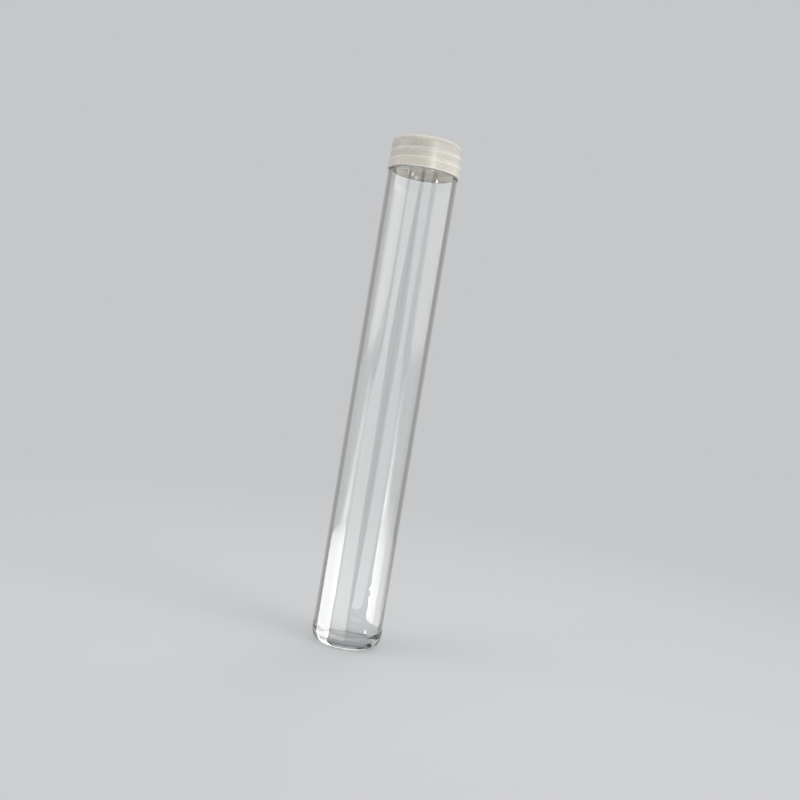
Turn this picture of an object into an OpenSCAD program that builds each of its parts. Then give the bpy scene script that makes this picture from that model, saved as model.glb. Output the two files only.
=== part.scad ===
// Button storage tube: a clear moulded tube with a closed base and a threaded neck, and a milky
// screw cap that sits flush on the tube's shoulder. Millimetres, +Z up along the tube.
// The origin is the middle of the base, on the surface that the tube stands on.
// The cap is shown screwed down. Its thread is right-handed.

/* [Tube] */
// Height of the whole object with the cap screwed down
total_h = 170; // [80:1:250]
// Outside diameter of the tube
tube_d = 23.5; // [21:0.1:30]
// Thickness of the tube's wall
wall_t = 1.45; // [1.3:0.05:2]
// Thickness of the closed base
floor_t = 1.8; // [1.2:0.1:3]
// Outside radius where the base turns up into the wall
base_corner_r = 3.7; // [2.5:0.1:5]
// Inside radius where the floor turns up into the bore
floor_corner_r = 4.4; // [3:0.1:6]

/* [Neck] */
// Thickness of the neck's wall between the bore and the thread
neck_wall_t = 0.55; // [0.45:0.05:0.7]
// Rounding of the shoulder's outer edge, under the cap's rim
shoulder_edge_r = 0.3; // [0.1:0.05:0.5]

/* [Cap] */
// Height of the cap from its rim to its top
cap_h = 10.8; // [9:0.1:14]
// How far the cap's upper skirt stands out beyond the tube's outside
cap_proud = 0.05; // [0:0.01:0.2]
// How much the radius of the skirt grows from its upper part to the rim
skirt_flare = 0.25; // [0.05:0.05:0.4]
// Height above the rim where the skirt stops flaring
flare_h = 6; // [4:0.1:6.5]
// Outside radius of the rounded edge round the cap's top
cap_corner_r = 2.3; // [1:0.1:2.4]
// Thickness of the cap's top
cap_top_t = 1.1; // [0.9:0.05:1.5]
// How far the lip round the rim stands out beyond the skirt
lip_proud = 0.2; // [0.05:0.05:0.3]
// Height of the lip round the rim
lip_h = 0.5; // [0.3:0.05:0.8]

/* [Thread] */
// Rise of the thread in one turn
thread_pitch = 3; // [2:0.1:3.5]
// Height of each thread ridge above its wall
thread_h = 0.2; // [0.1:0.05:0.25]
// Width of a thread ridge at its wall
ridge_w = 0.95; // [0.6:0.05:1.2]
// Width of a thread ridge at its crest
crest_w = 0.5; // [0.3:0.05:0.6]
// Radial gap between the neck's thread crest and the cap's
crest_gap = 0.1; // [0.06:0.01:0.15]

/* [Hidden] */
$fn = 96;

tube_colour = [0.80, 0.83, 0.84, 0.35];
cap_colour = [0.86, 0.85, 0.82];

// Gaps of the screwed-down cap: rim to shoulder, and mouth to the underside of the cap's top
rim_gap = 0.2;
seat_gap = 0.05;
// How far a cutting shape runs past the face that it opens
past = 1;

// Heights of the cap's rim, of the shoulder under it, of the cap's ceiling and of the mouth
rim_z = total_h - cap_h;
shoulder_z = rim_z - rim_gap;
ceiling_z = total_h - cap_top_t;
mouth_z = ceiling_z - seat_gap;

// Radii of the tube, its bore and its neck, and of their rounded edges
tube_r = tube_d / 2;
bore_r = tube_r - wall_t;
neck_r = bore_r + neck_wall_t;
mouth_edge_r = neck_wall_t / 2;

// Radii of the cap outside, from its upper skirt to its lip, and inside
cap_r = tube_r + cap_proud;
rim_r = cap_r + skirt_flare;
lip_r = rim_r + lip_proud;
cap_bore_r = neck_r + thread_h + crest_gap + thread_h;
ceiling_corner_r = 0.9;

// Thread: rings to a turn, rings over which a ridge rises out of its wall, and depth inside the wall
thread_rings = 36;
fade_rings = 3;
thread_bury = 0.15;
// A thread starts this far above the rim or the shoulder, and ends this far below the ceiling or mouth
thread_start_gap = 1.6;
thread_end_gap = 0.6;
// Height above the rim at which the cap's ridge first passes the front, at -Y
front_angle = -90;
front_h = 3.1;
// The neck's ridge lies this far above the cap's ridge, which pulls up against it
neck_thread_lead = 1.1;

cap_thread_z0 = rim_z + thread_start_gap;
cap_thread_z1 = ceiling_z - thread_end_gap;
neck_thread_z0 = shoulder_z + thread_start_gap;
neck_thread_z1 = mouth_z - mouth_edge_r - thread_end_gap;

// Angle of the cap's ridge where it has height z
function cap_angle(z) = front_angle + 360 * (z - rim_z - front_h) / thread_pitch;
function neck_angle(z) = cap_angle(z - neck_thread_lead);

// Share of the full ridge height at ring i of n, which is 0 at both ends
function fade(i, n) = min(1, i / fade_rings, (n - i) / fade_rings);

// The four corners of a ridge's section at one ring
function ridge_ring(angle, z, root_r, crest_r) = [
    for (p = [[root_r, -ridge_w], [crest_r, -crest_w], [crest_r, crest_w], [root_r, ridge_w]])
        [p[0] * cos(angle), p[0] * sin(angle), z + p[1] / 2]
];

// A helical ridge on a wall of radius wall_r from z0 to z1. It stands out on side +1, and in on side -1
module thread_ridge(wall_r, side, z0, z1, angle0) {
    n = floor((z1 - z0) / thread_pitch * thread_rings);
    root_r = wall_r - side * thread_bury;
    end_r = wall_r - side * thread_bury / 2;
    crest_r = wall_r + side * thread_h;
    points = [
        for (i = [0:n])
            each ridge_ring(
                angle0 + 360 * i / thread_rings,
                z0 + thread_pitch * i / thread_rings,
                root_r,
                end_r + (crest_r - end_r) * fade(i, n)
            )
    ];
    flanks = [
        for (i = [0:n - 1], k = [0:3])
            each let (a = 4 * i + k, b = 4 * i + (k + 1) % 4) [[a, a + 4, b + 4], [a, b + 4, b]]
    ];
    ends = [[0, 1, 2], [0, 2, 3], [4 * n, 4 * n + 2, 4 * n + 1], [4 * n, 4 * n + 3, 4 * n + 2]];
    faces = concat(flanks, ends);
    polyhedron(points, side < 0 ? faces : [for (f = faces) [f[2], f[1], f[0]]]);
}

// A half outline from the axis to radius r, from z0 to z1, with its lower outer corner rounded
module round_foot(r, corner_r, z0, z1) {
    translate([0, z0 + corner_r])
        square([r, z1 - z0 - corner_r]);
    translate([0, z0])
        square([r - corner_r, corner_r]);
    translate([r - corner_r, z0 + corner_r])
        circle(corner_r);
}

// The same with its upper outer corner rounded
module round_head(r, corner_r, z0, z1) {
    translate([0, z0 + z1])
        mirror([0, 1])
            round_foot(r, corner_r, z0, z1);
}

module tube_outline() {
    round_foot(tube_r, base_corner_r, 0, rim_z / 2);
    round_head(tube_r, shoulder_edge_r, rim_z / 2, shoulder_z);
    translate([0, shoulder_z])
        square([neck_r, mouth_z - mouth_edge_r - shoulder_z]);
}

module tube() {
    color(tube_colour) {
        difference() {
            rotate_extrude()
                tube_outline();
            rotate_extrude()
                round_foot(bore_r, floor_corner_r, floor_t, mouth_z + past);
        }
        // Rounded edge of the mouth
        rotate_extrude()
            translate([neck_r - mouth_edge_r, mouth_z - mouth_edge_r])
                circle(mouth_edge_r);
        thread_ridge(neck_r, 1, neck_thread_z0, neck_thread_z1, neck_angle(neck_thread_z0));
    }
}

module cap_outline() {
    // Flared skirt
    polygon([[0, rim_z], [rim_r, rim_z], [cap_r, rim_z + flare_h], [0, rim_z + flare_h]]);
    // Upper skirt and top
    round_head(cap_r, cap_corner_r, rim_z + flare_h, total_h);
    // Lip round the rim
    translate([0, rim_z])
        square([lip_r - lip_h / 2, lip_h]);
    translate([lip_r - lip_h / 2, rim_z + lip_h / 2])
        circle(lip_h / 2);
}

module screw_cap() {
    color(cap_colour) {
        difference() {
            rotate_extrude()
                cap_outline();
            rotate_extrude()
                round_head(cap_bore_r, ceiling_corner_r, rim_z - past, ceiling_z);
        }
        thread_ridge(cap_bore_r, -1, cap_thread_z0, cap_thread_z1, cap_angle(cap_thread_z0));
    }
}

tube();
screw_cap();
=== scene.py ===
import math

import bpy
from mathutils import Matrix, Vector


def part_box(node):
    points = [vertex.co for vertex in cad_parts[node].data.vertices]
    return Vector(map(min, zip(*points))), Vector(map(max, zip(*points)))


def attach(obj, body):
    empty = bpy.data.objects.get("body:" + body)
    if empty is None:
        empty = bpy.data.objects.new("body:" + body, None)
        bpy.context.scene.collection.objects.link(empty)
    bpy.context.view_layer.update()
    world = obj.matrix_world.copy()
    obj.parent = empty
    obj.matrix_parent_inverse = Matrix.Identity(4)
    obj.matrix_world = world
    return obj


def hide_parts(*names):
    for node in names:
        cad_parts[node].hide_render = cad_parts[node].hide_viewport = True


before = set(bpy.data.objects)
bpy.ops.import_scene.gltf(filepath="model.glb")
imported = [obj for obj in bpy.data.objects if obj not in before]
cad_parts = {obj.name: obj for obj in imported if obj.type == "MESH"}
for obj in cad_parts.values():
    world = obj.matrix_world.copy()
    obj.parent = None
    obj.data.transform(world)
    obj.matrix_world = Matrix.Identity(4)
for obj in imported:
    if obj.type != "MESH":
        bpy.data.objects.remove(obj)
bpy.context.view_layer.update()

scene = bpy.context.scene

# Real sizes in metres, as in the part's source. Z runs up the tube from its base.
MM = 0.001
MOUTH_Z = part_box("tube")[1].z
RIM_Z, TOP_Z = [corner.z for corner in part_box("screw_cap")]

# Tube, and the neck above its shoulder
TUBE_R = 11.75 * MM
WALL_T = 1.45 * MM
BORE_R = TUBE_R - WALL_T
FLOOR_T = 1.8 * MM
BASE_CORNER_R = 3.7 * MM
BORE_CORNER_R = 4.4 * MM
NECK_WALL_T = 0.55 * MM
NECK_R = BORE_R + NECK_WALL_T
SHOULDER_EDGE_R = 0.3 * MM
RIM_GAP = 0.2 * MM
SHOULDER_Z = RIM_Z - RIM_GAP

# Thread: right-handed, first passing the front of the cap at FRONT_H above the rim
PITCH = 3 * MM
THREAD_H = 0.2 * MM
RIDGE_W = 0.95 * MM
CREST_W = 0.5 * MM
CREST_GAP = 0.1 * MM
FRONT_H = 3.1 * MM
FRONT_ANGLE = -math.pi / 2
NECK_LEAD = 1.1 * MM
THREAD_START = 1.6 * MM
THREAD_END = 0.6 * MM
THREAD_FADE = 0.25 * MM

# Cap. The proud sizes are how far its upper skirt stands out beyond the tube, and its lip beyond that.
CAP_PROUD = 0.05 * MM
LIP_PROUD = 0.45 * MM
CAP_R = TUBE_R + CAP_PROUD
LIP_R = CAP_R + LIP_PROUD
CAP_BORE_R = NECK_R + 2 * THREAD_H + CREST_GAP
CAP_TOP_T = 1.1 * MM
CEILING_Z = TOP_Z - CAP_TOP_T
CEILING_CORNER_R = 0.9 * MM
CAP_CORNER_R = 2.3 * MM
FLARE_H = 6 * MM
LIP_H = 0.5 * MM
# Angle at which the rounding of the lip leaves the skirt, in degrees
LIP_TOP_ANGLE = 60
# Height of the faint ridge that the thread leaves on the outside of the cap
WITNESS_H = 0.05 * MM
# Painted highlights along the edges of the thread on the cap: half their width, and where they fade out
# above the rim and below the top
HIGHLIGHT_HALF_W = 0.42 * MM
HIGHLIGHT_START = (1.4 * MM, 2.2 * MM)
HIGHLIGHT_END = (3 * MM, 2.2 * MM)

# Mesh resolution
SEGMENTS = 192
ARC_STEPS = 16
SHOULDER_STEPS = 4
FINE_STEP = 0.1 * MM
WALL_STEP = 5 * MM
# A ring this close to each end of a straight run keeps its shading straight
GUARD = 0.05 * MM
# An edge is shaded sharp where its faces meet at more than this angle
SHARP_ANGLE = math.radians(40)

# Camera, in the photograph's square frame
FRAME_PX = 800
SENSOR_MM = 36
FOCAL_PX = 1001
CAMERA_AWAY = 336 * MM
CAMERA_Z = 92 * MM
CAMERA_PITCH = 0.0248
CAMERA_YAW = 0.0144
CAMERA_ROLL = 0.1658
CAMERA_CLIP = (0.01, 20)
# Bounces that a ray needs to pass both walls of the tube, and to be mirrored inside them
CLEAR_BOUNCES = 24
MIRROR_BOUNCES = 16

# Pale background, as a linear colour
PALE = (0.56, 0.57, 0.58)

# Cards that show as streaks and bands in the plastic. They lie on the floor or on a round wall about
# the tube: a far one, or a near one for the cards whose streaks have to stay short in other views.
# The other two walls are for a card in front of a far one, and for a card behind a near one.
CARD_AWAY = 0.9
FRONT_AWAY = CARD_AWAY - 0.01
NEAR_AWAY = 32 * MM
BEHIND_AWAY = NEAR_AWAY + 2 * MM
# Heights above the floor of the cards on it
CARD_H = 0.1 * MM
FOOT_CARD_H = 0.02 * MM
# Distance between the rows of a card's mesh, in millimetres up the tube, and the number of its columns
CARD_ROW_MM = 1.5
CARD_COLUMNS = 12
# Glow of a card that looks like the background, of one that edges the tube, and of a dark one
BARE = PALE[1]
GREY = 0.34
DARK = 0.15
# Uneven edge of a card: the steps of its two waves from row to row, in radians, and, as shares of the
# card's height, where it ends and how long it takes to fade out there
JAG_STEPS = (2.1, 3.7)
JAG_END = 0.3
JAG_FADE = 0.1
# Small glints: name, height in millimetres, share of the radius, glow
GLINTS = [
    ("base_glint", 7, 0.51, 10),
    ("left_cap_glint", 156.5, -0.28, 10),
    ("upper_cap_glint", 157.3, -0.4, 8),
    ("lower_cap_glint", 155.4, -0.17, 9),
    ("right_cap_glint", 155.6, 0.41, 16),
]
# Half a glint's width, as a share of the radius, and half its height in millimetres
GLINT_HALF_W = 0.045
GLINT_HALF_H = 0.6


def smooth_step(x):
    """A smooth rise from 0 to 1, held at its ends."""
    x = min(1.0, max(0.0, x))
    return x * x * (3 - 2 * x)


def ridge(z, angle, first_h, low, high):
    """Height of a helical ridge at a point, from 0 to 1. It passes FRONT_ANGLE at first_h, and its
    middle line runs from low to high."""
    turn = (angle - FRONT_ANGLE) / (2 * math.pi)
    middle = first_h + PITCH * turn
    middle += PITCH * round((z - middle) / PITCH)
    side = 1 - (abs(z - middle) - CREST_W / 2) / ((RIDGE_W - CREST_W) / 2)
    run_in = (middle - low) / THREAD_FADE
    run_out = (high - middle) / THREAD_FADE
    return smooth_step(side) * smooth_step(run_in) * smooth_step(run_out)


def cap_ridge(z, angle):
    return ridge(z, angle, RIM_Z + FRONT_H, RIM_Z + THREAD_START, CEILING_Z - THREAD_END)


def neck_ridge(z, angle):
    low = SHOULDER_Z + THREAD_START
    high = MOUTH_Z - THREAD_END
    return ridge(z, angle, RIM_Z + FRONT_H + NECK_LEAD, low, high)


def add_object(name, data):
    """A new object in the scene."""
    made = bpy.data.objects.new(name, data)
    scene.collection.objects.link(made)
    return made


def arc(centre_r, centre_z, radius, start, end, steps=ARC_STEPS):
    """Points of an arc in the (radius, height) plane, with angles in degrees."""
    points = []
    for i in range(steps + 1):
        a = math.radians(start + (end - start) * i / steps)
        points.append((centre_r + radius * math.cos(a), centre_z + radius * math.sin(a)))
    return points


def line(start, end, step):
    """Points from start to end, both left out, about step apart, and a guard point near each end."""
    length = math.dist(start, end)
    count = max(1, round(length / step))
    shares = [GUARD / length] + [i / count for i in range(1, count)] + [1 - GUARD / length]
    return [(start[0] + (end[0] - start[0]) * t, start[1] + (end[1] - start[1]) * t) for t in shares]


def lathe(name, profile, relief):
    """A closed solid turned from a profile that starts and ends on the axis. relief gives how far a
    point of the profile moves out at an angle."""
    vertices = [(0, 0, profile[0][1])]
    for index, (r, z) in enumerate(profile[1:-1], start=1):
        for k in range(SEGMENTS):
            angle = 2 * math.pi * k / SEGMENTS
            radius = r + relief(index, z, angle)
            vertices.append((radius * math.cos(angle), radius * math.sin(angle), z))
    vertices.append((0, 0, profile[-1][1]))
    last = len(vertices) - 1
    faces = []
    rows = len(profile) - 2
    for k in range(SEGMENTS):
        n = (k + 1) % SEGMENTS
        faces.append((0, 1 + n, 1 + k))
        for row in range(rows - 1):
            a = 1 + row * SEGMENTS
            b = a + SEGMENTS
            faces.append((a + k, a + n, b + n, b + k))
        end = 1 + (rows - 1) * SEGMENTS
        faces.append((end + k, end + n, last))
    mesh = bpy.data.meshes.new(name)
    mesh.from_pydata(vertices, [], faces)
    mesh.validate()
    mesh.shade_smooth()
    mesh.set_sharp_from_angle(angle=SHARP_ANGLE)
    return add_object(name, mesh)


def make_tube():
    """The tube, from its base up the outside to the mouth and down the bore, with a thread on its neck."""
    base_corner = arc(TUBE_R - BASE_CORNER_R, BASE_CORNER_R, BASE_CORNER_R, -90, 0)
    base = [(0, 0)] + line((0, 0), base_corner[0], WALL_STEP) + base_corner
    wall_end = (TUBE_R, SHOULDER_Z - SHOULDER_EDGE_R)
    wall = line(base[-1], wall_end, WALL_STEP)
    shoulder = arc(TUBE_R - SHOULDER_EDGE_R, wall_end[1], SHOULDER_EDGE_R, 0, 90, SHOULDER_STEPS)
    neck_foot = (NECK_R, SHOULDER_Z)
    edge_r = (NECK_R - BORE_R) / 2
    mouth = arc(NECK_R - edge_r, MOUTH_Z - edge_r, edge_r, 0, 180)
    neck = line(neck_foot, mouth[0], FINE_STEP)
    floor_corner = arc(BORE_R - BORE_CORNER_R, FLOOR_T + BORE_CORNER_R, BORE_CORNER_R, 0, -90)
    bore = line(mouth[-1], floor_corner[0], WALL_STEP)
    before_neck = base + wall + [wall_end] + shoulder[1:] + [neck_foot]
    floor = line(floor_corner[-1], (0, FLOOR_T), WALL_STEP) + [(0, FLOOR_T)]
    profile = before_neck + neck + mouth + bore + floor_corner + floor
    first, end = len(before_neck), len(before_neck) + len(neck)

    def relief(index, z, angle):
        return THREAD_H * neck_ridge(z, angle) if first <= index < end else 0

    return lathe("tube_clear", profile, relief)


def make_cap():
    """The cap, from its top down the outside to the rim and up the bore, with a thread in the bore."""
    top = [(0, TOP_Z)] + arc(CAP_R - CAP_CORNER_R, TOP_Z - CAP_CORNER_R, CAP_CORNER_R, 90, 0)
    flare = (CAP_R, RIM_Z + FLARE_H)
    lip = arc(LIP_R - LIP_H / 2, RIM_Z + LIP_H / 2, LIP_H / 2, LIP_TOP_ANGLE, -90)
    upper = line(top[-1], flare, FINE_STEP)
    lower = line(flare, lip[0], FINE_STEP)
    outside = top + upper + [flare] + lower
    ceiling = arc(CAP_BORE_R - CEILING_CORNER_R, CEILING_Z - CEILING_CORNER_R, CEILING_CORNER_R, 0, 90)
    rim = lip + [(CAP_BORE_R, RIM_Z)]
    bore = line(rim[-1], ceiling[0], FINE_STEP)
    profile = outside + rim + bore + ceiling + [(0, CEILING_Z)]
    outside_end = len(outside)
    inside = len(outside) + len(rim)

    def relief(index, z, angle):
        if len(top) <= index < outside_end:
            return WITNESS_H * cap_ridge(z, angle)
        if inside <= index < inside + len(bore):
            return -THREAD_H * cap_ridge(z, angle)
        return 0

    last = len(profile) - 1
    return lathe("screw_cap_milky", profile[::-1], lambda i, z, a: relief(last - i, z, a))


class Nodes:
    """Short calls to build a node tree."""

    def __init__(self, tree):
        self.tree = tree

    def add(self, kind, inputs=None, **settings):
        node = self.tree.nodes.new("ShaderNode" + kind)
        for key, value in settings.items():
            setattr(node, key, value)
        for key, value in (inputs or {}).items():
            if isinstance(value, bpy.types.NodeSocket):
                self.tree.links.new(value, node.inputs[key])
            else:
                node.inputs[key].default_value = value
        return node

    def math(self, operation, a, b=0.0, c=0.0):
        return self.add("Math", {0: a, 1: b, 2: c}, operation=operation).outputs[0]

    def spread(self, value, low, high, to_low, to_high):
        """Carries a value from one range to another, held at its ends."""
        ends = {"From Min": low, "From Max": high, "To Min": to_low, "To Max": to_high}
        return self.add("MapRange", {"Value": value, **ends}).outputs["Result"]


def material(name):
    """A new material, with its nodes and its main shader."""
    made = bpy.data.materials.new(name)
    made.use_nodes = True
    nodes = Nodes(made.node_tree)
    shader = made.node_tree.nodes["Principled BSDF"]
    return made, nodes, shader


def link(nodes, source, target):
    nodes.tree.links.new(source, target)


def clear_plastic():
    """Polished clear plastic, greyer where it is seen edge on, with the slight waviness of a moulding
    and faint rubbing marks. Lamps shine through it."""
    rub_stretch = (1, 1, 0.12)
    rub_range = (0.58, 0.75)
    rub_roughness = 0.07
    wave_stretch = (1, 1, 0.3)
    ripple_share = 0.6
    wave_depth = 0.005 * MM
    made, nodes, shader = material("clear_plastic")
    shader.inputs["Base Color"].default_value = (0.99, 0.995, 0.995, 1)
    shader.inputs["Transmission Weight"].default_value = 1
    shader.inputs["IOR"].default_value = 1.58
    place = nodes.add("TexCoord").outputs["Object"]
    rubbed = nodes.add("Mapping", {"Vector": place, "Scale": rub_stretch}).outputs["Vector"]
    marks = nodes.add("TexNoise", {"Vector": rubbed, "Scale": 1800, "Detail": 3}).outputs["Fac"]
    roughness = nodes.spread(marks, *rub_range, 0.0, rub_roughness)
    link(nodes, roughness, shader.inputs["Roughness"])
    wavy = nodes.add("Mapping", {"Vector": place, "Scale": wave_stretch}).outputs["Vector"]
    waves = nodes.add("TexNoise", {"Vector": wavy, "Scale": 260, "Detail": 2}).outputs["Fac"]
    axes = nodes.add("SeparateXYZ", {"Vector": place}).outputs
    outward = nodes.add("CombineXYZ", {"X": axes["X"], "Y": axes["Y"]}).outputs["Vector"]
    radius = nodes.add("VectorMath", {0: outward}, operation="LENGTH").outputs["Value"]
    inside = nodes.spread(radius, BORE_R, TUBE_R, 1.0, 0.0)
    ripples = nodes.add("TexNoise", {"Vector": place, "Scale": 700, "Detail": 1}).outputs["Fac"]
    uneven = nodes.math("MULTIPLY_ADD", nodes.math("MULTIPLY", ripples, inside), ripple_share, waves)
    bump = nodes.add("Bump", {"Height": uneven, "Strength": 0.5, "Distance": wave_depth})
    link(nodes, bump.outputs["Normal"], shader.inputs["Normal"])
    clear = nodes.add("BsdfTransparent", {"Color": (0.9, 0.9, 0.9, 1)}).outputs["BSDF"]
    shadow = nodes.add("LightPath").outputs["Is Shadow Ray"]
    surface = nodes.add("MixShader", {0: shadow, 1: shader.outputs["BSDF"], 2: clear})
    output = made.node_tree.nodes["Material Output"]
    link(nodes, surface.outputs["Shader"], output.inputs["Surface"])
    tint = nodes.add("VolumeAbsorption", {"Color": (0.46, 0.5, 0.5, 1), "Density": 28})
    link(nodes, tint.outputs["Volume"], output.inputs["Volume"])
    return made


def thread_highlight(nodes, off, edge, share):
    """A painted highlight along one edge of the thread. off and edge are heights above the ridge's middle.
    """
    away = nodes.math("ABSOLUTE", nodes.math("SUBTRACT", off, edge))
    return nodes.math("MULTIPLY", nodes.spread(away, 0.0, HIGHLIGHT_HALF_W, 1.0, 0.0), share)


def milky_plastic():
    """Natural translucent plastic with a satin skin. Painted highlights run along the edges of the thread
    inside, the upper edge's stronger on the left of the front, and the lower edge's and a painted
    highlight on the lip stronger on the right."""
    upper_highlight_fade = (-0.6, 0.5)
    lower_highlight_fade = (-0.5, 0.4)
    weak_highlight = 0.3
    lip_highlight_fade = (RIM_Z + 0.6 * LIP_H, RIM_Z + LIP_H)
    lip_highlight_share = 0.8
    highlight_mix, cloud_shade = 0.9, 0.25
    scatter, highlight_scatter = 0.8, 0.35
    skin_range = (0.3, 0.7)
    smooth, rough = 0.2, 0.32
    skin_depth = 0.01 * MM
    made, nodes, shader = material("milky_plastic")
    place = nodes.add("TexCoord").outputs["Object"]
    axes = nodes.add("SeparateXYZ", {"Vector": place}).outputs
    angle = nodes.math("ARCTAN2", axes["Y"], axes["X"])
    turn = nodes.math("DIVIDE", nodes.math("SUBTRACT", angle, FRONT_ANGLE), 2 * math.pi)
    rise = nodes.math("SUBTRACT", axes["Z"], nodes.math("MULTIPLY_ADD", turn, PITCH, RIM_Z + FRONT_H))
    off = nodes.math("WRAP", rise, PITCH / 2, -PITCH / 2)
    right = nodes.math("COSINE", angle)
    # Painted highlights: the upper edge's strong on the left of the front, the lower edge's strong on the
    # right
    left_highlight_share = nodes.spread(right, *upper_highlight_fade, 1.0, weak_highlight)
    right_highlight_share = nodes.spread(right, *lower_highlight_fade, weak_highlight, 1.0)
    edge = (RIDGE_W + CREST_W) / 4
    # upper and lower are the painted highlights along the thread's upper and lower edges
    upper = thread_highlight(nodes, off, edge, left_highlight_share)
    lower = thread_highlight(nodes, off, -edge, right_highlight_share)
    edge_highlights = nodes.math("MAXIMUM", upper, lower)
    start = nodes.spread(axes["Z"], RIM_Z + HIGHLIGHT_START[0], RIM_Z + HIGHLIGHT_START[1], 0.0, 1.0)
    end = nodes.spread(axes["Z"], TOP_Z - HIGHLIGHT_END[0], TOP_Z - HIGHLIGHT_END[1], 1.0, 0.0)
    edge_highlights = nodes.math("MULTIPLY", edge_highlights, nodes.math("MULTIPLY", start, end))
    # lip is a painted highlight along the lip, strong on the right
    lip = nodes.spread(axes["Z"], *lip_highlight_fade, lip_highlight_share, 0.0)
    edge_highlights = nodes.math("MAXIMUM", edge_highlights, nodes.math("MULTIPLY", lip, right_highlight_share))
    cloud = nodes.add("TexNoise", {"Vector": place, "Scale": 350, "Detail": 3}).outputs["Fac"]
    cloudy = nodes.math("MULTIPLY", cloud, cloud_shade)
    # shade mixes the painted highlights with the cloud's random tone
    shade = nodes.math("ADD", nodes.math("MULTIPLY", edge_highlights, highlight_mix), cloudy)
    # Color1 is the plastic's own tone; Color2 is the tone of the painted highlights and of the cloud's
    # paler patches
    ends = {"Color1": (0.785, 0.705, 0.585, 1), "Color2": (0.99, 0.948, 0.87, 1)}
    colour = nodes.add("MixRGB", {"Fac": shade, **ends})
    link(nodes, colour.outputs["Color"], shader.inputs["Base Color"])
    # Less scattering under the painted highlights keeps them crisp
    depth = nodes.spread(edge_highlights, 0.0, 1.0, scatter, highlight_scatter)
    link(nodes, depth, shader.inputs["Subsurface Weight"])
    shader.inputs["Subsurface Radius"].default_value = (1, 0.98, 0.95)
    shader.inputs["Subsurface Scale"].default_value = 3 * MM
    shader.inputs["Transmission Weight"].default_value = 0.1
    shader.inputs["IOR"].default_value = 1.5
    skin = nodes.add("TexNoise", {"Vector": place, "Scale": 4000, "Detail": 2}).outputs["Fac"]
    link(nodes, nodes.spread(skin, *skin_range, smooth, rough), shader.inputs["Roughness"])
    bump = nodes.add("Bump", {"Height": skin, "Strength": 0.2, "Distance": skin_depth})
    link(nodes, bump.outputs["Normal"], shader.inputs["Normal"])
    return made


def dress(piece, surface, body, node):
    """Gives a piece its material, the body that it moves with, and the CAD node that it replaces."""
    piece.data.materials.append(surface)
    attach(piece, body)
    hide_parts(node)


def seen_rays(nodes):
    """1 for the rays that show the background, straight, in a reflection or through clear plastic."""
    paths = nodes.add("LightPath").outputs
    seen = nodes.math("MAXIMUM", paths["Is Camera Ray"], paths["Is Glossy Ray"])
    return nodes.math("MAXIMUM", seen, paths["Is Transmission Ray"])


def make_floor():
    """A pale floor that takes the shadow near the tube, and runs into the background further off."""
    radius = 4.0
    below = 0.05 * MM
    shadow_r, far_r = 0.08, 0.4
    mesh = bpy.data.meshes.new("floor")
    corners = [(-radius, -radius), (radius, -radius), (radius, radius), (-radius, radius)]
    mesh.from_pydata([(x, y, -below) for x, y in corners], [], [(0, 1, 2, 3)])
    floor = add_object("floor", mesh)
    made, nodes, shader = material("pale_floor")
    shader.inputs["Base Color"].default_value = (*PALE, 1)
    shader.inputs["Roughness"].default_value = 0.9
    shader.inputs["Specular IOR Level"].default_value = 0
    place = nodes.add("TexCoord").outputs["Object"]
    away = nodes.add("VectorMath", {0: place}, operation="LENGTH").outputs["Value"]
    far = nodes.spread(away, shadow_r, far_r, 0.0, 1.0)
    glow = nodes.add("Emission", {"Color": (*PALE, 1), "Strength": 1.0}).outputs["Emission"]
    seen = nodes.math("MULTIPLY", far, seen_rays(nodes))
    mix = nodes.add("MixShader", {0: seen, 1: shader.outputs["BSDF"], 2: glow})
    output = made.node_tree.nodes["Material Output"]
    link(nodes, mix.outputs["Shader"], output.inputs["Surface"])
    floor.data.materials.append(made)


def make_world():
    """Even fill light, and the pale background."""
    fill = 0.5
    world = bpy.data.worlds.new("studio")
    scene.world = world
    world.use_nodes = True
    nodes = Nodes(world.node_tree)
    world.node_tree.nodes.clear()
    pale = nodes.add("Background", {"Color": (*PALE, 1), "Strength": 1.0})
    light = nodes.add("Background", {"Color": (1, 1, 1, 1), "Strength": fill})
    mix = nodes.add("MixShader", {0: seen_rays(nodes), 1: light.outputs[0], 2: pale.outputs[0]})
    output = nodes.add("OutputWorld", {"Surface": mix.outputs["Shader"]})
    output.is_active_output = True


def softbox(name, azimuth, elevation, size, watts):
    """A soft light that faces the tube, and that no reflection shows. Azimuth 0 is at the camera, and
    grows to the right."""
    away = 1.2
    aim_z = 80 * MM
    turn = math.radians(azimuth)
    rise = math.radians(elevation)
    lamp = bpy.data.lights.new(name, "AREA")
    lamp.size = size
    lamp.energy = watts
    light = add_object(name, lamp)
    way = Vector((math.sin(turn) * math.cos(rise), -math.cos(turn) * math.cos(rise), math.sin(rise)))
    light.location = Vector((0, 0, aim_z)) + away * way
    light.rotation_euler = way.to_track_quat("Z", "Y").to_euler()
    light.visible_camera = False
    light.visible_glossy = False
    light.visible_transmission = False


def make_lights():
    softbox("key", azimuth=60, elevation=30, size=0.8, watts=9)
    softbox("left", azimuth=-70, elevation=40, size=0.8, watts=5.2)
    softbox("back", azimuth=160, elevation=25, size=0.7, watts=5)


def card_material():
    """Light that follows the glow kept with each point of a card. A card shows only in reflections."""
    made, nodes, _ = material("card")
    glow = nodes.add("Attribute", attribute_name="glow").outputs["Fac"]
    light = nodes.add("Emission", {"Color": (1, 0.985, 0.965, 1), "Strength": glow}).outputs["Emission"]
    clear = nodes.add("BsdfTransparent").outputs["BSDF"]
    mirrored = nodes.math("GREATER_THAN", nodes.add("LightPath").outputs["Glossy Depth"], 0.5)
    mix = nodes.add("MixShader", {0: mirrored, 1: clear, 2: light})
    link(nodes, mix.outputs["Shader"], made.node_tree.nodes["Material Output"].inputs["Surface"])
    made.cycles.emission_sampling = "NONE"
    return made


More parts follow.
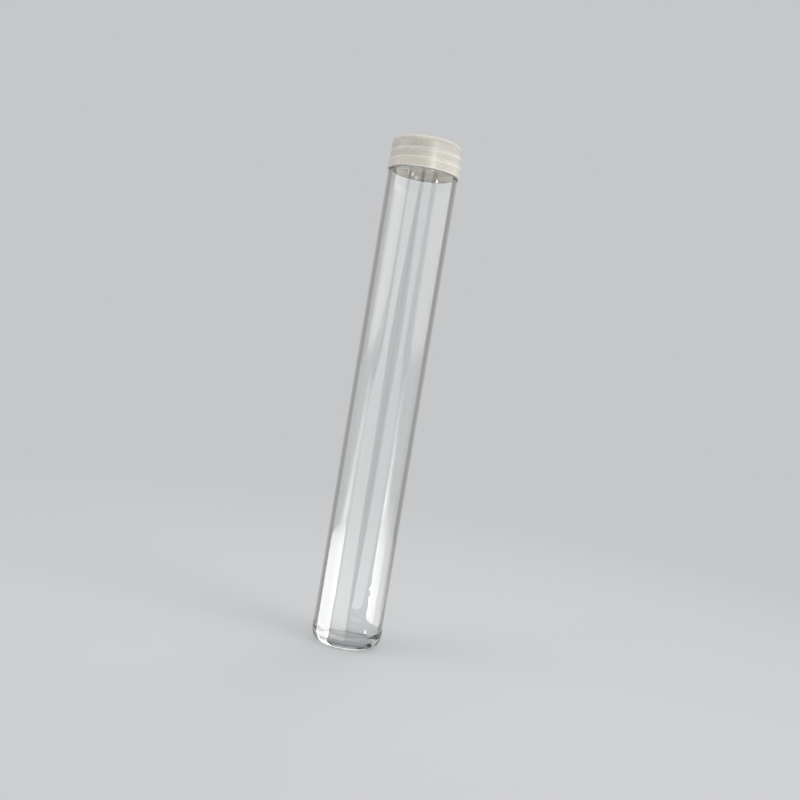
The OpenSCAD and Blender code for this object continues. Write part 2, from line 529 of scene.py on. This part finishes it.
def make_card(name, surface, rows, deep):
    """A card of light or shade for the reflections. rows holds rows of (place, glow). A deep card shows
    in reflections inside the plastic too."""
    width = len(rows[0])
    points = [point for row in rows for point in row]
    faces = []
    for i in range(len(rows) - 1):
        for k in range(width - 1):
            a = i * width + k
            faces.append((a, a + 1, a + width + 1, a + width))
    mesh = bpy.data.meshes.new(name)
    mesh.from_pydata([place for place, _ in points], [], faces)
    glow = mesh.attributes.new("glow", "FLOAT", "POINT")
    glow.data.foreach_set("value", [level for _, level in points])
    mesh.materials.append(surface)
    card = add_object(name, mesh)
    card.visible_camera = False
    card.visible_diffuse = False
    card.visible_transmission = deep
    card.visible_volume_scatter = False
    card.visible_shadow = False


def mirrored_place(across, z, away):
    """The place on the stage that the outside of the tube mirrors to the camera, at a share of the
    tube's radius and a height. The stage is the floor, and a round wall this far away from the axis."""
    normal = Vector((across, -math.sqrt(1 - across * across), 0))
    touch = TUBE_R * normal + Vector((0, 0, z))
    ray = touch - Vector((0, -CAMERA_AWAY, CAMERA_Z))
    way = (ray - 2 * ray.dot(normal) * normal).normalized()
    start, flat = touch.to_2d(), way.to_2d()
    along = start.dot(flat) / flat.length_squared
    beyond = (start.length_squared - away ** 2) / flat.length_squared
    reach = math.sqrt(along * along - beyond) - along
    if way.z < 0:
        reach = min(reach, (CARD_H - z) / way.z)
    return touch + reach * way


def between(rows, z):
    """Values at a height between rows that start with their heights."""
    for low, high in zip(rows, rows[1:]):
        if z <= high[0]:
            t = (z - low[0]) / (high[0] - low[0])
            return [a + (b - a) * t for a, b in zip(low[1:], high[1:])]
    return rows[-1][1:]


def mirror_card(name, surface, rows, soft=False, deep=True, jag=0.0, away=CARD_AWAY):
    """A card that the camera sees in the outside of the tube. Each row holds a height in millimetres,
    the two shares of the radius between which the card shows, and its glow at both. A soft card has
    its second glow along its middle, and its first at both edges. jag makes the lowest part of its
    first edge uneven."""
    count = round((rows[-1][0] - rows[0][0]) / CARD_ROW_MM)
    made = []
    for i in range(count + 1):
        z = rows[0][0] + (rows[-1][0] - rows[0][0]) * i / count
        first, last, first_glow, last_glow = between(rows, z)
        low_share = smooth_step((JAG_END - i / count) / JAG_FADE)
        first += jag * low_share * (math.sin(JAG_STEPS[0] * i) + math.sin(JAG_STEPS[1] * i + 1))
        row = []
        for k in range(CARD_COLUMNS + 1):
            t = k / CARD_COLUMNS
            share = smooth_step(1 - abs(2 * t - 1)) if soft else t
            glow = first_glow + (last_glow - first_glow) * share
            row.append((mirrored_place(first + (last - first) * t, z * MM, away), glow))
        made.append(row)
    make_card(name, surface, made, deep)


def flag_card(name, surface, glow, rows):
    """A card of one even glow, with rows as for mirror_card, less their glows."""
    mirror_card(name, surface, [(*row, glow, glow) for row in rows])


def foot_card(name, surface, edges, start, end, start_glow, end_glow):
    """A card on the floor, which the rounded edge of the base mirrors between two azimuths. Azimuth 0
    is at the camera, and grows to the right. edges holds the radius of the card's inner and outer
    edge, and how far each is turned on."""
    rows = []
    for i in range(CARD_COLUMNS + 1):
        t = i / CARD_COLUMNS
        glow = start_glow + (end_glow - start_glow) * t
        row = []
        for r, ahead in edges:
            turn = math.radians(start + (end - start) * t + ahead)
            row.append((Vector((r * math.sin(turn), -r * math.cos(turn), FOOT_CARD_H)), glow))
        rows.append(row)
    make_card(name, surface, rows, False)


def make_streaks(surface):
    """The two bright streaks low on the tube, with their tails, and their feet on the base."""
    mirror_card("left_streak", surface, [
        (1.5, -0.84, -0.5, 7, 13),
        (4, -0.86, -0.485, 7, 13),
        (9, -0.86, -0.485, 4.5, 9),
        (30, -0.865, -0.485, 4.5, 9),
        (37, -0.86, -0.49, 3, 8),
        (41, -0.7, -0.5, 1.2, 6),
    ], deep=False, away=NEAR_AWAY)
    foot_edges = [(9.6 * MM, 0), (16 * MM, -15)]
    foot_card("streak_foot", surface, foot_edges, start=-59, end=-29, start_glow=5, end_glow=9)
    line_edges = [(8.7 * MM, 0), (9.5 * MM, 0)]
    foot_card("left_base_line", surface, line_edges, start=-70, end=5, start_glow=1, end_glow=4)
    foot_card("right_base_line", surface, line_edges, start=5, end=70, start_glow=4, end_glow=1)
    mirror_card("right_streak", surface, [
        (9.5, 0.65, 0.68, 6, 5),
        (11.5, 0.46, 0.68, 9, 6),
        (20, 0.45, 0.68, 9, 6),
        (35, 0.44, 0.66, 8, 4.5),
        (45, 0.44, 0.62, 6, 2.5),
        (55, 0.44, 0.58, 3.4, 1),
        (72, 0.45, 0.55, 1.8, BARE),
    ], deep=False, jag=0.025, away=NEAR_AWAY)
    mirror_card("right_glow", surface, [
        (8.5, 0.8, 0.87, 3, 2),
        (10, 0.68, 0.9, 3.6, 2),
        (20, 0.68, 0.92, 3.2, 1.4),
        (35, 0.66, 0.91, 2.6, 0.9),
        (45, 0.62, 0.8, 1.6, BARE),
        (52, 0.6, 0.7, 0.8, BARE),
    ], deep=False, away=NEAR_AWAY)
    tail = [
        (41, -0.7, -0.48, 1.2, 5),
        (48, -0.68, -0.48, 0.8, 3.4),
        (60, -0.66, -0.48, 0.7, 2.6),
        (75, -0.6, -0.47, 0.7, 2.4),
        (88, -0.57, -0.5, 0.6, 1.6),
        (92, -0.55, -0.52, BARE, BARE),
    ]
    mirror_card("near_tail", surface, tail, soft=True, deep=False, away=NEAR_AWAY)
    tail_start = (*tail[0][:3], BARE, BARE)
    mirror_card("far_tail", surface, [tail_start] + tail[1:], soft=True)


def make_bands(surface):
    """The pale bands along the tube. The front of the tube mirrors a card on the card's own side, and
    the back of it mirrors a deep card on the other side."""
    mirror_card("inner_card", surface, [
        (2, -0.46, -0.04, 2.4, 2.4),
        (20, -0.46, -0.07, 2, 2),
        (40, -0.46, -0.11, 1.7, 1.7),
        (80, -0.46, -0.13, 1.5, 1.5),
        (90, -0.4, -0.15, 1.5, 1.5),
        (100, -0.33, -0.17, 1.6, 1.8),
        (120, -0.33, -0.15, 1.6, 1.8),
        (140, -0.34, -0.09, 1.6, 1.6),
        (158, -0.34, -0.04, 1.6, 1.6),
        (180, -0.34, -0.04, BARE, BARE),
    ])
    mirror_card("outer_card", surface, [
        (95, -0.72, -0.64, BARE, BARE),
        (101, -0.73, -0.56, 3, 1.2),
        (108, -0.73, -0.46, 2.8, 1.4),
        (120, -0.73, -0.4, 2.2, 1.8),
        (150, -0.74, -0.387, 2, 1.8),
        (153, -0.74, -0.386, 3.6, 3.4),
        (158, -0.74, -0.385, 4, 3.6),
        (180, -0.74, -0.385, BARE, BARE),
    ], deep=False, away=FRONT_AWAY)
    mirror_card("under_cap_card", surface, [
        (150.6, 0.055, 0.28, 1.6, 1.6),
        (151.8, 0.055, 0.28, 2.5, 2.5),
        (159, 0.055, 0.28, 2.5, 2.5),
    ], deep=False, away=NEAR_AWAY)
    mirror_card("right_card", surface, [
        (94, 0.52, 0.78, BARE, BARE),
        (104, 0.47, 0.79, 1.6, 1.6),
        (120, 0.45, 0.8, 1.6, 1.6),
        (158, 0.43, 0.82, 1.6, 1.6),
        (180, 0.43, 0.82, BARE, BARE),
    ])
    mirror_card("right_line", surface, [
        (92, 0.75, 0.8, BARE, BARE),
        (104, 0.765, 0.815, 1, 3.4),
        (158, 0.775, 0.835, 1, 3.8),
        (180, 0.775, 0.835, BARE, BARE),
    ], soft=True, deep=False, away=NEAR_AWAY)


def make_glints(surface):
    """The small glints near the base and under the cap."""
    for name, z, across, glow in GLINTS:
        sides = (across - GLINT_HALF_W, across + GLINT_HALF_W, BARE, glow)
        mirror_card(name, surface, [(z - GLINT_HALF_H, *sides), (z + GLINT_HALF_H, *sides)],
                    soft=True, deep=False, away=NEAR_AWAY)


def make_flags(surface):
    """Dark cards that part the bands, and grey ones that draw the edges of the tube."""
    flag_card("middle_flag", surface, DARK, [
        (6, -0.035, 0.03),
        (20, -0.06, 0.03),
        (40, -0.1, 0.06),
        (80, -0.12, 0.07),
        (100, -0.16, 0.03),
        (120, -0.14, 0.04),
        (140, -0.08, 0.06),
        (158, -0.03, 0.05),
    ])
    flag_card("between_flag", surface, DARK, [
        (88, -0.46, -0.43),
        (96, -0.58, -0.37),
        (101, -0.57, -0.34),
        (108, -0.53, -0.34),
        (120, -0.49, -0.335),
        (158, -0.48, -0.345),
    ])
    flag_card("left_flag", surface, GREY, [
        (5, -0.985, -0.88),
        (92, -0.985, -0.88),
        (98, -0.985, -0.77),
        (190, -0.985, -0.76),
    ])
    flag_card("right_flag", surface, GREY, [
        (5, 0.84, 0.985),
        (190, 0.84, 0.985),
    ])


def make_cap_sheen(surface):
    """The sheen on the right of the cap, and a brighter strip in it."""
    mirror_card("cap_sheen", surface, [
        (161, 0.07, 0.9, BARE, BARE),
        (164, 0.07, 0.9, 3.8, 0.6),
        (170, 0.07, 0.9, 3.8, 0.6),
        (174, 0.07, 0.9, BARE, BARE),
    ], deep=False, away=BEHIND_AWAY)
    mirror_card("cap_strip", surface, [
        (160, 0.19, 0.31, BARE, BARE),
        (161.5, 0.19, 0.31, 3, 14),
        (165, 0.19, 0.31, 3, 14),
        (166, 0.19, 0.31, 3, 8),
        (171, 0.19, 0.31, 3, 8),
        (174, 0.19, 0.31, BARE, BARE),
    ], soft=True, deep=False, away=NEAR_AWAY)


def make_cards():
    """All the cards of light and shade that the plastic mirrors."""
    surface = card_material()
    make_streaks(surface)
    make_bands(surface)
    make_glints(surface)
    make_flags(surface)
    make_cap_sheen(surface)


def make_camera():
    """The camera in front of the tube, rolled so that the upright tube leans in the picture."""
    ahead = Vector((
        math.sin(CAMERA_YAW) * math.cos(CAMERA_PITCH),
        math.cos(CAMERA_YAW) * math.cos(CAMERA_PITCH),
        -math.sin(CAMERA_PITCH),
    ))
    level = ahead.cross(Vector((0, 0, 1))).normalized()
    upright = level.cross(ahead)
    right = math.cos(CAMERA_ROLL) * level + math.sin(CAMERA_ROLL) * upright
    up = math.cos(CAMERA_ROLL) * upright - math.sin(CAMERA_ROLL) * level
    data = bpy.data.cameras.new("camera")
    data.sensor_width = SENSOR_MM
    data.lens = FOCAL_PX * SENSOR_MM / FRAME_PX
    data.clip_start, data.clip_end = CAMERA_CLIP
    camera = add_object("camera", data)
    turn = Matrix((right, up, -ahead)).transposed()
    camera.matrix_world = Matrix.Translation((0, -CAMERA_AWAY, CAMERA_Z)) @ turn.to_4x4()
    scene.camera = camera


make_camera()
make_world()
make_lights()
make_cards()
make_floor()
dress(make_tube(), clear_plastic(), "tube_body", "tube")
dress(make_cap(), milky_plastic(), "cap_body", "screw_cap")
scene.view_settings.view_transform = "Standard"
scene.cycles.max_bounces = CLEAR_BOUNCES
scene.cycles.glossy_bounces = MIRROR_BOUNCES
scene.cycles.transmission_bounces = CLEAR_BOUNCES
scene.cycles.transparent_max_bounces = CLEAR_BOUNCES
